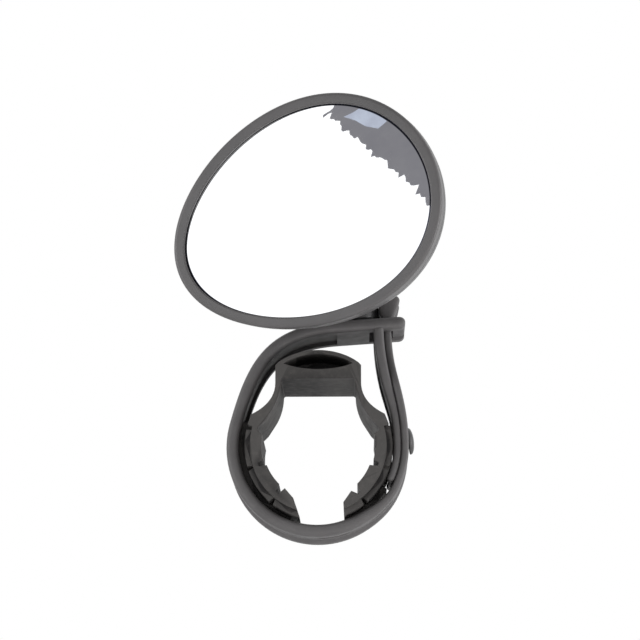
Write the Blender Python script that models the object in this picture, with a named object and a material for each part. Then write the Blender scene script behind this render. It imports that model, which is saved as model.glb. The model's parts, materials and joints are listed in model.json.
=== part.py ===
"""Small egg-shaped handlebar mirror on a ball joint, held by a rubber strap with a grip liner.

+X is to the right, +Y runs along the handlebar away from the viewer and +Z is up. The origin is on
the handlebar's axis, at the middle of the strap's width. Lengths are in metres.
"""

from math import acos, atan2, cos, degrees, hypot, pi, radians, sin

import bmesh
import bpy
from mathutils import Matrix, Vector

MM = 0.001
GAP = 0.3 * MM  # clearance left between touching pieces

# Mirror head: the outline is an egg, wide end towards +U
EGG_A = 35.2 * MM  # half length
EGG_B = 27.7 * MM  # half height
EGG_SKEW = 0.126  # how much wider one end is
EGG_STEPS = 48
MIRROR_ROLL = radians(23.1)  # long axis above horizontal
MIRROR_YAW = radians(-11.1)
MIRROR_NOD = radians(-9.5)
HEAD_RISE = 19.5 * MM  # ball centre to mirror centre, along the short axis
HEAD_REACH = 26.0 * MM  # ball centre to the rim's front face
HEAD_SHIFT = 1.6 * MM  # mirror centre beside the stalk, along the long axis
RIM_WIDTH = 2.7 * MM
RIM_WALL = 1.3 * MM
RIM_DEPTH = 4.6 * MM
LIP = 1.2 * MM
GLASS_BULGE = 1.3 * MM
GLASS_BACK = -3.6 * MM
PAD_DEPTH = 1.2 * MM
COVER_WALL = 1.6 * MM
SPIGOT_WALL = 1.3 * MM
SIDE_DEPTH = 8.6 * MM  # front face to where the back starts to dome
DRAFT = 0.3 * MM
DOME = 4.4 * MM
SEAT_FACE = -13.4 * MM  # flat on the back for the arm's foot

# Ball joint, in a frame whose Z is the post's axis and whose origin is the ball's centre
BALL_CENTRE = Vector((8.7, 0.0, 40.6)) * MM
POST_LEAN = radians(-4.0)
BALL_R = 4.0 * MM
SEAT_IN = BALL_R + GAP
SEAT_OUT = 5.1 * MM
SEAT_HALF_ANGLE = radians(56)
CUP_IN = SEAT_OUT + GAP
CUP_R = 6.7 * MM
CUP_NECK_R = 6.1 * MM
CUP_SHOULDER = -2.3 * MM
CUP_TOP = 1.5 * MM
CUP_BOTTOM = -7.65 * MM
CUP_FLOOR = -6.95 * MM
CUP_SCREW_SEAT = -6.35 * MM
CUP_WELL_R = 2.4 * MM  # well for the pivot screw's head
CUP_RECESS_R = 3.7 * MM  # recess under the floor for the washer
PIVOT_R = 1.2 * MM
PIVOT_HOLE_R = PIVOT_R + GAP
PIVOT_HEAD_R = 2.1 * MM
PIVOT_HEAD = 0.6 * MM
WASHER_R = 3.4 * MM
COLLAR_R = 7.0 * MM
COLLAR_LIP_R = 3.9 * MM
COLLAR_TOP = 2.6 * MM
STALK_R = 1.6 * MM
FOOT_FACE = HEAD_REACH + SEAT_FACE - GAP  # the foot's front, seen from the ball
FOOT_THICK = 2.1 * MM
FOOT_RISE = 12.0 * MM
FOOT_HALF_WIDTH = 7.2 * MM
FOOT_HALF_HEIGHT = 5.4 * MM
FOOT_CORNER = 1.8 * MM
FLAT_EDGE = 0.4 * MM  # how far the flat on the back stands out round the foot
SCREW_SPREAD = 4.9 * MM
SCREW_R = 1.0 * MM
SCREW_HOLE_R = SCREW_R + GAP
SCREW_LENGTH = 6.2 * MM
SCREW_HEAD_R = 1.9 * MM
SCREW_HEAD = 1.4 * MM
BOSS_R = 2.6 * MM
BOSS_LENGTH = 5.0 * MM

# Strap
STRAP_HALF_WIDTH = 9.0 * MM
BEAD_THICK = 3.1 * MM
BEAD_WIDTH = 4.3 * MM
WEB_THICK = 1.5 * MM
LOOP_R = 21.2 * MM  # centre line of the lower half
LOOP_START = 165.0  # angle where the shoulder from the rails joins the round part
SHOULDER_PULLS = (17 * MM, 16 * MM)  # how far the shoulder keeps each end's direction
RAIL_DROP = 9.65 * MM  # ball centre to the rails' centre line
RAIL_START, RAIL_END = -4.5 * MM, 13.0 * MM  # along the rails, from under the ball
LOOP_END = 350.0
OVERLAP = 0.05 * MM  # how far a joined shape stands inside its neighbour's faces
TAIL_R = 22.05 * MM
TAIL_THICK = 1.7 * MM
TAIL_WEB = 1.2 * MM
TAIL_HALF_WIDTH = 5.2 * MM
TAIL_BEAD = 2.2 * MM
TAB_THICK = 5.2 * MM
TAIL_TOP = (17.85 * MM, 31.0 * MM)
TAB_TOP = (18.6 * MM, 39.2 * MM)
TAB_TIP = (18.8 * MM, 39.9 * MM)
SIDE_START = 12 * MM  # how far the tail keeps the ring's direction as it leaves it
SIDE_PULL = (-0.15 * MM, -13.5 * MM)  # how the tail approaches its top end
TONGUE_THICK = 1.9 * MM
TONGUE_INSET = 1.95 * MM  # tail's centre line to the tongue's
TONGUE_R = TAIL_R - TONGUE_INSET
TONGUE_START = -22.0
SLOT_HALF_WIDTH = TAIL_HALF_WIDTH + GAP
BLOCK_FROM, BLOCK_TO = -4.5 * MM, 3.8 * MM  # rubber block under the ball
SLOT_TO = 9.9 * MM
WINDOW_LENGTH = 9.0 * MM
WINDOW_WIDTH = 5.0 * MM
WINDOW_CORNER = 2.2 * MM
WINDOW_ANGLES = (-152, -116, -80, -44)
STUD_WINDOW_ANGLE = 2.0
STUD_ANGLE = 6.5
STUD_R = 1.7 * MM
STUD_HEAD_R = 3.4 * MM
STUD_HEAD = 1.4 * MM
STUD_TIP = 1.2 * MM  # how far the stud stands out behind the tongue
STUD_RECESS = 17.4 * MM  # floor of the liner's recess for the stud, from the loop's centre
PLATE_R = 2.9 * MM
PLATE_THICK = 0.9 * MM
BASE_HALF = (2.9 * MM, 4.5 * MM)
BASE_CORNER = 1.0 * MM
BASE_BOTTOM, BASE_TOP = -10.45 * MM, -8.05 * MM

# Grip liner, in a frame centred on its ring
LINER_CENTRE = Vector((0.35, 0.0, -0.3)) * MM
LINER_HALF_DEPTH = 12.0 * MM
LINER_OUT = 18.4 * MM
LINER_IN = 14.2 * MM
HINGE_OUT = 17.1 * MM
HINGE_IN = 15.7 * MM
PAD_IN = 13.7 * MM  # inside of the lower pads
NOTCH_ANGLES = (-50.5, -18.0, 15.0)  # living hinges
LINER_SHOULDER = ((16.6, 7.9), (13.6, 10.1), (11.6, 12.7), (10.75, 15.4), (10.75, 20.7))
LINER_CROWN = ((7.4, 22.6), (3.8, 23.8), (0, 24.2))
LINER_BRIDGE = ((0, 16.9), (9.3, 16.9), (9.6, 13.2), (11.2, 9.6), (13.3, 6.3))
RIGHT_TOE = ((14.1, -54.5), (15.6, -66.5), (18.8, -70.0))  # radius and angle, the last one outside
LEFT_TOE = ((13.6, -52.5), (14.6, -65.0), (18.4, -75.5))
HOLE_TIP = 8.7, 20.8
HOLE_PULL = 4.0
HOLE_TOP, HOLE_LOW = 23.9, 18.8
RIB_R = 20.15 * MM  # outside of the rib that sits between the strap's beads
RIB_FOOT = 17.6 * MM
RIB_HALF_WIDTH = 4.0 * MM
RIB_SPANS = ((-64, -53), (-48, -26), (-197, -165), (-159, -132), (-127, -111))
BRIDGE_WEB = 1.0 * MM  # half thickness of the wall across the bridge's hole

BLACK = (0.035, 0.036, 0.038)
RUBBER = (0.045, 0.046, 0.047)


def clear_scene():
    for obj in list(bpy.data.objects):
        bpy.data.objects.remove(obj, do_unlink=True)


def material(name, colour, roughness, metallic=0.0):
    mat = bpy.data.materials.new(name)
    mat.use_nodes = True
    shader = mat.node_tree.nodes["Principled BSDF"]
    shader.inputs["Base Color"].default_value = (*colour, 1.0)
    shader.inputs["Roughness"].default_value = roughness
    shader.inputs["Metallic"].default_value = metallic
    return mat


def add_object(name, bm, mat, matrix=None, smooth=35):
    """Turn a bmesh into a named object; smooth is the angle above which edges stay sharp."""
    bmesh.ops.recalc_face_normals(bm, faces=bm.faces)
    mesh = bpy.data.meshes.new(name)
    bm.to_mesh(mesh)
    bm.free()
    mesh.shade_smooth()
    mesh.set_sharp_from_angle(angle=radians(smooth))
    obj = bpy.data.objects.new(name, mesh)
    bpy.context.scene.collection.objects.link(obj)
    if mat:
        mesh.materials.append(mat)
    if matrix:
        obj.matrix_world = matrix
    return obj


def as_tool(obj):
    obj.hide_render = True
    obj.display_type = "WIRE"
    return obj


def boolean(target, tool, operation):
    mod = target.modifiers.new(operation.lower(), "BOOLEAN")
    mod.operation = operation
    mod.object = as_tool(tool)


# Mesh builders


def skin(rings, closed_along=False, caps=True):
    """Quads between rings of equally many points; a ring of one point is a pole."""
    bm = bmesh.new()
    rows = [[bm.verts.new(p) for p in ring] for ring in rings]
    pairs = list(zip(rows, rows[1:]))
    if closed_along:
        pairs.append((rows[-1], rows[0]))
    for a, b in pairs:
        count = max(len(a), len(b))
        for i in range(count):
            j = (i + 1) % count
            corners = [a[i % len(a)], a[j % len(a)], b[j % len(b)], b[i % len(b)]]
            bm.faces.new(list(dict.fromkeys(corners)))
    if caps and not closed_along:
        for row in (rows[0], rows[-1]):
            if len(row) > 2:
                bm.faces.new(row)
    return bm


def turned(profile, segments=24, closed=False):
    """Revolve (radius, height) points about Z; radius 0 makes a pole."""
    rings = []
    for radius, height in profile:
        if radius == 0:
            rings.append([Vector((0, 0, height))])
            continue
        angles = [2 * pi * i / segments for i in range(segments)]
        rings.append([Vector((radius * cos(a), radius * sin(a), height)) for a in angles])
    return skin(rings, closed_along=closed)


def extruded(outline, half_depth):
    """A flat outline of (x, z) points extruded along Y, both ways from the middle."""
    rings = []
    for y in (-half_depth, half_depth):
        rings.append([Vector((x, y, z)) for x, z in outline])
    return skin(rings)


def prism(outline, low, high):
    """A flat outline of (x, y) points between two heights along Z."""
    return skin([[Vector((x, y, z)) for x, y in outline] for z in (low, high)])


def box(low, high):
    corners = [(low[0], low[1]), (high[0], low[1]), (high[0], high[1]), (low[0], high[1])]
    return prism(corners, low[2], high[2])


def arc(centre, radius, start, end, steps):
    """Points on a circle, angles in degrees."""
    turn = [radians(start + (end - start) * i / steps) for i in range(steps + 1)]
    return [(centre[0] + radius * cos(a), centre[1] + radius * sin(a)) for a in turn]


def circle(x, y, radius, steps=16):
    return arc((x, y), radius, 0, 360, steps)[:-1]


def polar(radius, angle):
    return radius * cos(radians(angle)), radius * sin(radians(angle))


def bezier(p0, p1, p2, p3, steps):
    points = []
    for i in range(steps + 1):
        t = i / steps
        weights = ((1 - t) ** 3, 3 * t * (1 - t) ** 2, 3 * t * t * (1 - t), t**3)
        points.append(tuple(sum(w * p[k] for w, p in zip(weights, (p0, p1, p2, p3))) for k in (0, 1)))
    return points


def rounded_rectangle(half_x, half_y, corner, steps=4):
    points = []
    for sx, sy, start in ((1, 1, 0), (-1, 1, 90), (-1, -1, 180), (1, -1, 270)):
        centre = (sx * (half_x - corner), sy * (half_y - corner))
        points += arc(centre, corner, start, start + 90, steps)
    return points


def shift(bm, x=0.0, y=0.0, z=0.0):
    bmesh.ops.translate(bm, vec=(x, y, z), verts=bm.verts)
    return bm


# Frames


def mirror_matrix():
    """Axes U (long), V (short, up) and N (front) of the mirror, with the origin at the ball."""
    turn = Matrix.Rotation(MIRROR_YAW, 4, "Z") @ Matrix.Rotation(-MIRROR_NOD, 4, "X")
    upright = Matrix(((1, 0, 0, 0), (0, 0, -1, 0), (0, 1, 0, 0), (0, 0, 0, 1)))
    roll = Matrix.Rotation(MIRROR_ROLL, 4, "Z")
    return Matrix.Translation(BALL_CENTRE) @ turn @ upright @ roll


def post_matrix():
    return Matrix.Translation(BALL_CENTRE) @ Matrix.Rotation(POST_LEAN, 4, "Y")


# Mirror head


def egg(inset, depth, scale=1.0):
    """Egg ring at a depth, in the ball's frame: inset shrinks it evenly, scale in proportion."""
    ring = []
    for i in range(EGG_STEPS):
        t = 2 * pi * i / EGG_STEPS
        u = (EGG_A - inset) * scale * cos(t)
        v = (EGG_B - inset) * scale * sin(t) * (1 + EGG_SKEW * cos(t))
        ring.append(Vector((u + HEAD_SHIFT, v + HEAD_RISE, depth + HEAD_REACH)))
    return ring


def pole(depth):
    return [Vector((HEAD_SHIFT, HEAD_RISE, depth + HEAD_REACH))]


def make_bezel(mat, frame):
    profile = (
        (0.0, -0.6 * MM),
        (0.6 * MM, 0.0),
        (RIM_WIDTH, 0.0),
        (RIM_WIDTH, -LIP),
        (RIM_WALL, -LIP),
        (RIM_WALL, -RIM_DEPTH),
        (0.0, -RIM_DEPTH),
    )
    rings = [egg(inset, depth) for inset, depth in profile]
    return add_object("bezel_frame", skin(rings, closed_along=True), mat, frame)


def make_lens(mat, frame):
    edge = RIM_WALL + GAP
    rim = -LIP - GAP
    rings = [pole(GLASS_BACK), egg(edge, GLASS_BACK), egg(edge, rim)]
    for scale in (0.95, 0.8, 0.6, 0.4, 0.2):
        rings.append(egg(edge, rim + GLASS_BULGE * (1 - scale**2), scale))
    rings.append(pole(rim + GLASS_BULGE))
    return add_object("mirror_lens", skin(rings), mat, frame)


def make_pad(mat, frame):
    top = GLASS_BACK - GAP
    rings = [egg(0, top, 0.8), egg(0, top - PAD_DEPTH, 0.8)]
    return add_object("lens_pad", skin(rings), mat, frame)


def dome(inset, back):
    """Rings of the domed back from its edge towards the middle, then the pole."""
    turns = [radians(a) for a in (0, 20, 40, 60, 75)]
    return [egg(inset, back - DOME * sin(a), cos(a)) for a in turns] + [pole(back - DOME)]


def make_cover(mat, frame):
    """Domed shell with a spigot inside the bezel, and a flat with two bosses for the arm's foot."""
    front = -RIM_DEPTH - GAP
    top = GLASS_BACK - GAP
    spigot = RIM_WALL + GAP
    bore = spigot + SPIGOT_WALL
    rings = dome(bore, COVER_WALL - SIDE_DEPTH)[::-1]
    rings += [egg(bore, top), egg(spigot, top), egg(spigot, front), egg(0, front)]
    rings += dome(DRAFT, -SIDE_DEPTH)
    cover = add_object("rear_cover", skin(rings), mat, frame)
    face = HEAD_REACH + SEAT_FACE
    inside = HEAD_REACH - SIDE_DEPTH - DOME + 0.5 * COVER_WALL
    outline = rounded_rectangle(FOOT_HALF_WIDTH + FLAT_EDGE, FOOT_HALF_HEIGHT + FLAT_EDGE, FOOT_CORNER)
    flat = prism([(x, y + FOOT_RISE) for x, y in outline], face, inside)
    boolean(cover, add_object("cover_flat", flat, None, frame), "UNION")
    for side in (-1, 1):
        outline = circle(side * SCREW_SPREAD, FOOT_RISE, BOSS_R)
        boss = prism(outline, inside - 0.4 * COVER_WALL, face + BOSS_LENGTH)
        boolean(cover, add_object("cover_boss", boss, None, frame), "UNION")
    drill_screw_holes(cover, frame, face - 1 * MM, face + BOSS_LENGTH + 1 * MM)
    return cover


def drill_screw_holes(target, frame, low, high):
    for side in (-1, 1):
        drill = prism(circle(side * SCREW_SPREAD, FOOT_RISE, SCREW_HOLE_R), low, high)
        boolean(target, add_object("screw_hole", drill, None, frame), "DIFFERENCE")


def make_arm(mat, frame):
    ball = bmesh.new()
    bmesh.ops.create_uvsphere(ball, u_segments=24, v_segments=12, radius=BALL_R)
    arm = add_object("ball_arm", ball, mat, frame)
    back = FOOT_FACE - FOOT_THICK
    path = bezier((2 * MM, 0), (9 * MM, 0), (11.5 * MM, 1.5 * MM), (FOOT_RISE, back + 1 * MM), 8)
    rings = []
    for i, (rise, reach) in enumerate(path):
        before, after = path[max(i - 1, 0)], path[min(i + 1, len(path) - 1)]
        tilt = atan2(after[1] - before[1], after[0] - before[0])
        radius = STALK_R + 1.2 * MM * (i / (len(path) - 1)) ** 2
        centre = Vector((0, rise, reach))
        side, up = Vector((1, 0, 0)), Vector((0, -sin(tilt), cos(tilt)))
        turns = [2 * pi * k / 16 for k in range(16)]
        rings.append([centre + radius * (cos(a) * side + sin(a) * up) for a in turns])
    boolean(arm, add_object("arm_stalk", skin(rings), None, frame), "UNION")
    outline = rounded_rectangle(FOOT_HALF_WIDTH, FOOT_HALF_HEIGHT, FOOT_CORNER)
    foot = prism([(x, y + FOOT_RISE) for x, y in outline], back, FOOT_FACE)
    boolean(arm, add_object("arm_foot", foot, None, frame), "UNION")
    drill_screw_holes(arm, frame, back - 1 * MM, FOOT_FACE + 1 * MM)
    return arm


def make_arm_screws(mat, frame):
    seat = FOOT_FACE - FOOT_THICK - GAP
    tip = seat + SCREW_LENGTH
    for side, name in ((-1, "arm_screw_left"), (1, "arm_screw_right")):
        profile = (
            (0, tip),
            (0.5 * SCREW_R, tip - 0.2 * SCREW_R),
            (SCREW_R, tip - SCREW_R),
            (SCREW_R, seat),
            (SCREW_HEAD_R, seat),
            (SCREW_HEAD_R, seat - 0.5 * SCREW_HEAD),
            (0.7 * SCREW_HEAD_R, seat - 0.9 * SCREW_HEAD),
            (0, seat - SCREW_HEAD),
        )
        screw = shift(turned(profile, 18), side * SCREW_SPREAD, FOOT_RISE)
        add_object(name, screw, mat, frame)


# Ball joint


def sphere_profile(radius, start, end, steps):
    """(radius, height) points on a circle, from an angle above the equator to another."""
    return [(abs(r), z) for r, z in arc((0, 0), radius, start, end, steps)]


def make_cup(mat, frame):
    wall = sphere_profile(CUP_IN, 0, degrees(-acos(CUP_WELL_R / CUP_IN)), 6)
    profile = [
        (CUP_RECESS_R, CUP_BOTTOM),
        (CUP_R - 0.5 * MM, CUP_BOTTOM),
        (CUP_R, CUP_BOTTOM + 0.5 * MM),
        (CUP_R, CUP_SHOULDER),
        (CUP_NECK_R, CUP_SHOULDER),
        (CUP_NECK_R, CUP_TOP),
        (CUP_IN, CUP_TOP),
        *wall,
        (CUP_WELL_R, CUP_SCREW_SEAT),
        (PIVOT_HOLE_R, CUP_SCREW_SEAT),
        (PIVOT_HOLE_R, CUP_FLOOR),
        (CUP_RECESS_R, CUP_FLOOR),
    ]
    return add_object("socket_cup", turned(profile, 32, closed=True), mat, frame)


def make_collar(mat, frame):
    bore = CUP_NECK_R + GAP
    bottom = CUP_SHOULDER + GAP
    under_lip = CUP_TOP + 0.4 * MM
    profile = (
        (bore, bottom),
        (COLLAR_R, bottom),
        (COLLAR_R, COLLAR_TOP - 0.8 * MM),
        (COLLAR_R - 0.8 * MM, COLLAR_TOP),
        (COLLAR_LIP_R + 0.2 * MM, COLLAR_TOP),
        (COLLAR_LIP_R, under_lip),
        (bore, under_lip),
    )
    return add_object("socket_collar", turned(profile, 32, closed=True), mat, frame)


def make_ball_seat(mat, head_frame):
    """Spherical follower under the ball, opposite the stalk."""
    edge = degrees(SEAT_HALF_ANGLE) - 90
    outer = sphere_profile(SEAT_OUT, -90, edge, 6)
    inner = sphere_profile(SEAT_IN, edge, -90, 6)
    profile = [(0, -SEAT_OUT), *outer[1:], *inner[:-1], (0, -SEAT_IN)]
    seat = turned(profile)
    bmesh.ops.rotate(seat, cent=(0, 0, 0), matrix=Matrix.Rotation(-pi / 2, 3, "X"), verts=seat.verts)
    return add_object("ball_seat", seat, mat, head_frame)


def make_pivot(steel, frame):
    """Screw that holds the cup to the base plate, and the washer it turns on."""
    tip, seat = BASE_BOTTOM + 0.5 * MM, CUP_SCREW_SEAT + GAP
    profile = (
        (0, tip),
        (PIVOT_R, tip),
        (PIVOT_R, seat),
        (PIVOT_HEAD_R, seat),
        (PIVOT_HEAD_R, seat + 0.7 * PIVOT_HEAD),
        (0, seat + PIVOT_HEAD),
    )
    add_object("pivot_screw", turned(profile, 18), steel, frame)
    low, high = BASE_TOP + GAP, CUP_FLOOR - GAP
    washer = ((PIVOT_HOLE_R, low), (WASHER_R, low), (WASHER_R, high), (PIVOT_HOLE_R, high))
    add_object("pivot_washer", turned(washer, closed=True), steel, frame)


def make_base_plate(mat, frame):
    outline = rounded_rectangle(*BASE_HALF, BASE_CORNER, 3)
    plate = add_object("base_plate", prism(outline, BASE_BOTTOM, BASE_TOP), mat, frame)
    hole = prism(circle(0, 0, PIVOT_HOLE_R), BASE_BOTTOM - 1 * MM, BASE_TOP + 1 * MM)
    boolean(plate, add_object("base_hole", hole, mat, frame), "DIFFERENCE")
    return plate


# Strap


def band_section(half_width, bead_width, bead_thick, web_thick):
    """(across, normal) points of a strap that is thick along both edges and thin between them."""
    b, w = bead_thick / 2, web_thick / 2
    soft = min(0.9 * MM, 0.75 * b)
    inner = half_width - bead_width
    side = [
        (inner, w),
        (inner + soft, b),
        (half_width - soft, b),
        (half_width - 0.3 * soft, b - 0.3 * soft),
        (half_width, b - soft),
    ]
    top = [(-y, n) for y, n in reversed(side)] + side
    return top + [(y, -n) for y, n in reversed(top)]


def sweep_band(stations):
    """Stations of (x, z, half width, bead width, bead thickness, web thickness) along the band."""
    rings = []
    for i, (x, z, *size) in enumerate(stations):
        before, after = stations[max(i - 1, 0)], stations[min(i + 1, len(stations) - 1)]
        run, rise = after[0] - before[0], after[1] - before[1]
        length = hypot(run, rise)
        normal = Vector((-rise / length, 0, run / length))
        centre = Vector((x, 0, z))
        rings.append([centre + n * normal + Vector((0, y, 0)) for y, n in band_section(*size)])
    return skin(rings)


def rail_point(along, lift=0.0):
    """World (x, z) of a point on the rails' centre line; lift is across it."""
    point = post_matrix() @ Vector((along, 0, lift - RAIL_DROP))
    return point.x, point.z


def ease(t):
    t = min(max(t, 0.0), 1.0)
    return t * t * (3 - 2 * t)


def blend_size(a, b, t):
    return tuple(p + (q - p) * ease(t) for p, q in zip(a, b))


LOOP_SIZE = (STRAP_HALF_WIDTH, BEAD_WIDTH, BEAD_THICK, WEB_THICK)
OUTER_SIZE = (STRAP_HALF_WIDTH, BEAD_WIDTH, TAIL_THICK, TAIL_WEB)
TAIL_SIZE = (TAIL_HALF_WIDTH, TAIL_BEAD, TAIL_THICK, TAIL_WEB)
TAB_SIZE = (TAIL_HALF_WIDTH, TAIL_BEAD, TAB_THICK, TAB_THICK - 0.8 * MM)
TAB_END = (TAIL_HALF_WIDTH - 1 * MM, TAIL_BEAD, 2.6 * MM, 2.2 * MM)
TONGUE_SIZE = (STRAP_HALF_WIDTH - 0.6 * MM, 3.4 * MM, TONGUE_THICK, TAIL_WEB)


def loop_path():
    """From the rails' right end, left over the top, round the bottom and part of the way up the right."""
    stations = [(*rail_point(RAIL_END + (RAIL_START - RAIL_END) * i / 3), *LOOP_SIZE) for i in range(3)]
    start, left = rail_point(RAIL_START), polar(LOOP_R, LOOP_START)
    join = radians(LOOP_START)
    first, last = SHOULDER_PULLS
    ahead = (start[0] - first * cos(POST_LEAN), start[1] + first * sin(POST_LEAN))
    above = (left[0] + last * sin(join), left[1] - last * cos(join))
    stations += [(x, z, *LOOP_SIZE) for x, z in bezier(start, ahead, above, left, 12)[:-1]]
    steps = 26
    for i in range(steps + 1):
        stations.append(ring_station(LOOP_START + (LOOP_END - LOOP_START) * i / steps))
    return stations


def side_curve(steps):
    """Centre line of the tail from the ring's right side, up to its top point."""
    start = (TAIL_R, 0)
    under = (TAIL_TOP[0] + SIDE_PULL[0], TAIL_TOP[1] + SIDE_PULL[1])
    return bezier(start, (TAIL_R, SIDE_START), under, TAIL_TOP, steps)


def moved_inward(points, distance):
    """The line of points moved to its left by a distance."""
    moved = []
    for i, (x, z) in enumerate(points):
        before, after = points[max(i - 1, 0)], points[min(i + 1, len(points) - 1)]
        run, rise = after[0] - before[0], after[1] - before[1]
        length = hypot(run, rise)
        moved.append((x - distance * rise / length, z + distance * run / length))
    return moved


def ring_station(angle, swell=0.0):
    """Station on the round lower part, which thins into the outer layer on the right."""
    thin = (angle - 300) / 30
    radius = LOOP_R + (TAIL_R - LOOP_R) * ease(thin)
    half, bead, thick, web = blend_size(LOOP_SIZE, OUTER_SIZE, thin)
    size = (half + swell / 2, bead + swell, thick + swell, web + swell)
    return (*polar(radius, angle), *size)


def tail_path():
    """The thin outer layer from the loop's right side up through the slot to the pull tab."""
    stations = [ring_station(LOOP_END - 6 + 3 * i, OVERLAP) for i in range(5)]
    for i, (x, z) in enumerate(side_curve(14)):
        stations.append((x, z, *blend_size(OUTER_SIZE, TAIL_SIZE, (i - 6) / 5)))
    top = bezier(TAIL_TOP, (17.7 * MM, 33.5 * MM), (17.7 * MM, 36 * MM), TAB_TOP, 8)
    for i, (x, z) in enumerate(top[1:]):
        stations.append((x, z, *blend_size(TAIL_SIZE, TAB_SIZE, (i - 1) / 5)))
    stations.append((*TAB_TIP, *TAB_END))
    return stations


def across_band(angle):
    """Matrix whose Z points outward through the band at an angle round the loop."""
    return Matrix.Rotation(radians(-angle), 4, "Y") @ Matrix.Rotation(pi / 2, 4, "Y")


def cut_window(band, angle, radius):
    """Rounded slot through the web, its length along the band."""
    outline = rounded_rectangle(WINDOW_LENGTH / 2, WINDOW_WIDTH / 2, WINDOW_CORNER, 4)
    cutter = prism(outline, radius - 2.5 * MM, radius + 3 * MM)
    boolean(band, add_object("window", cutter, None, across_band(angle)), "DIFFERENCE")


def make_tongue():
    """Inner layer that hangs from the rails and carries the stud."""
    ring = [polar(TAIL_R, TONGUE_START * (1 - i / 4)) for i in range(4)]
    line = moved_inward(ring + side_curve(12), TONGUE_INSET)
    tongue = add_object("tongue", sweep_band([(x, z, *TONGUE_SIZE) for x, z in line]), None)
    hole = prism(circle(0, 0, STUD_R + GAP), TONGUE_R - 2 * MM, TONGUE_R + 2 * MM)
    boolean(tongue, add_object("stud_hole", hole, None, across_band(STUD_ANGLE)), "DIFFERENCE")
    return tongue


def make_tail():
    tail = add_object("tail", sweep_band(tail_path()), None)
    cut_window(tail, STUD_WINDOW_ANGLE, TAIL_R)
    return tail


def make_strap(mat, post):
    strap = add_object("strap", sweep_band(loop_path()), mat)
    edge = STRAP_HALF_WIDTH - 1 * MM
    low, high = -RAIL_DROP - BEAD_THICK / 2 + OVERLAP, -RAIL_DROP + BEAD_THICK / 2 - OVERLAP
    block = box((BLOCK_FROM, -edge, low), (BLOCK_TO + 1 * MM, edge, high))
    boolean(strap, add_object("block", block, None, post), "UNION")
    end = box((SLOT_TO - 1 * MM, -edge, low), (RAIL_END - OVERLAP, edge, high))
    boolean(strap, add_object("end_bar", end, None, post), "UNION")
    slot = box((BLOCK_TO, -SLOT_HALF_WIDTH, low - 2 * MM), (SLOT_TO, SLOT_HALF_WIDTH, high + 2 * MM))
    boolean(strap, add_object("slot", slot, None, post), "DIFFERENCE")
    outline = rounded_rectangle(BASE_HALF[0] + GAP, BASE_HALF[1] + GAP, BASE_CORNER + GAP, 3)
    pocket = prism(outline, BASE_BOTTOM - GAP, BASE_TOP + 2 * MM)
    boolean(strap, add_object("pocket", pocket, None, post), "DIFFERENCE")
    for angle in WINDOW_ANGLES:
        cut_window(strap, angle, LOOP_R)
    boolean(strap, make_tongue(), "UNION")
    boolean(strap, make_tail(), "UNION")
    return strap


def make_stud(mat):
    """Mushroom stud through the tongue and the outer layer, with a plate behind the tongue."""
    place = across_band(STUD_ANGLE)
    face = TAIL_R + TAIL_THICK / 2 + GAP
    back = TONGUE_R - TONGUE_THICK / 2 - GAP
    profile = (
        (0, back - STUD_TIP),
        (STUD_R, back - STUD_TIP),
        (STUD_R, face),
        (STUD_HEAD_R, face),
        (STUD_HEAD_R, face + 0.25 * STUD_HEAD),
        (0.7 * STUD_HEAD_R, face + 0.8 * STUD_HEAD),
        (0, face + STUD_HEAD),
    )
    add_object("strap_stud", turned(profile), mat, place)
    bore = STUD_R + GAP
    inner = back - PLATE_THICK
    washer = ((bore, inner), (PLATE_R, inner), (PLATE_R, back), (bore, back))
    add_object("stud_plate", turned(washer, closed=True), mat, place)


# Grip liner


def in_mm(points):
    return [(x * MM, z * MM) for x, z in points]


def outer_notch(angle, half=1.9):
    wide, narrow = half, 0.6 * half
    return [
        polar(LINER_OUT, angle - wide),
        polar(HINGE_OUT, angle - narrow),
        polar(HINGE_OUT, angle + narrow),
        polar(LINER_OUT, angle + wide),
    ]


def inner_notch(angle, half=1.5):
    return [polar(HINGE_IN, angle + half), polar(HINGE_IN, angle - half)]


def liner_half(toe):
    """Right half of the liner's outline, from the gap up the outside and back down the inside."""
    low, middle, high = NOTCH_ANGLES
    toe = [polar(radius * MM, angle) for radius, angle in toe]
    outside = toe[-1:]
    outside += arc((0, 0), LINER_OUT, -67, -54, 3) + outer_notch(low)
    outside += arc((0, 0), LINER_OUT, -46, -22, 5) + outer_notch(middle)
    outside += arc((0, 0), LINER_OUT, -13, 10, 5) + outer_notch(high)
    outside += in_mm(LINER_SHOULDER + LINER_CROWN)
    inside = in_mm(LINER_BRIDGE) + inner_notch(high + 0.5)
    inside += arc((0, 0), LINER_IN, 11, -15, 6) + inner_notch(middle)
    inside += arc((0, 0), PAD_IN, -21, -45, 6) + inner_notch(low + 0.5)
    return outside, inside + toe[:-1]


def hole_outline():
    """Lens shape through the bridge."""
    (x, z), pull = HOLE_TIP, HOLE_PULL
    top = bezier((-x, z), (-pull, HOLE_TOP), (pull, HOLE_TOP), (x, z), 12)
    low = bezier((x, z), (pull, HOLE_LOW), (-pull, HOLE_LOW), (-x, z), 12)
    return in_mm(top + low[1:-1])


def add_ribs(liner):
    """Ribs between the strap's beads, one on each stiff part of the liner."""
    for start, end in RIB_SPANS:
        steps = max(2, round((end - start) / 5))
        outline = arc((0, 0), RIB_R, start, end, steps) + arc((0, 0), RIB_FOOT, end, start, steps)
        boolean(liner, add_object("rib", extruded(outline, RIB_HALF_WIDTH), None), "UNION")


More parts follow.
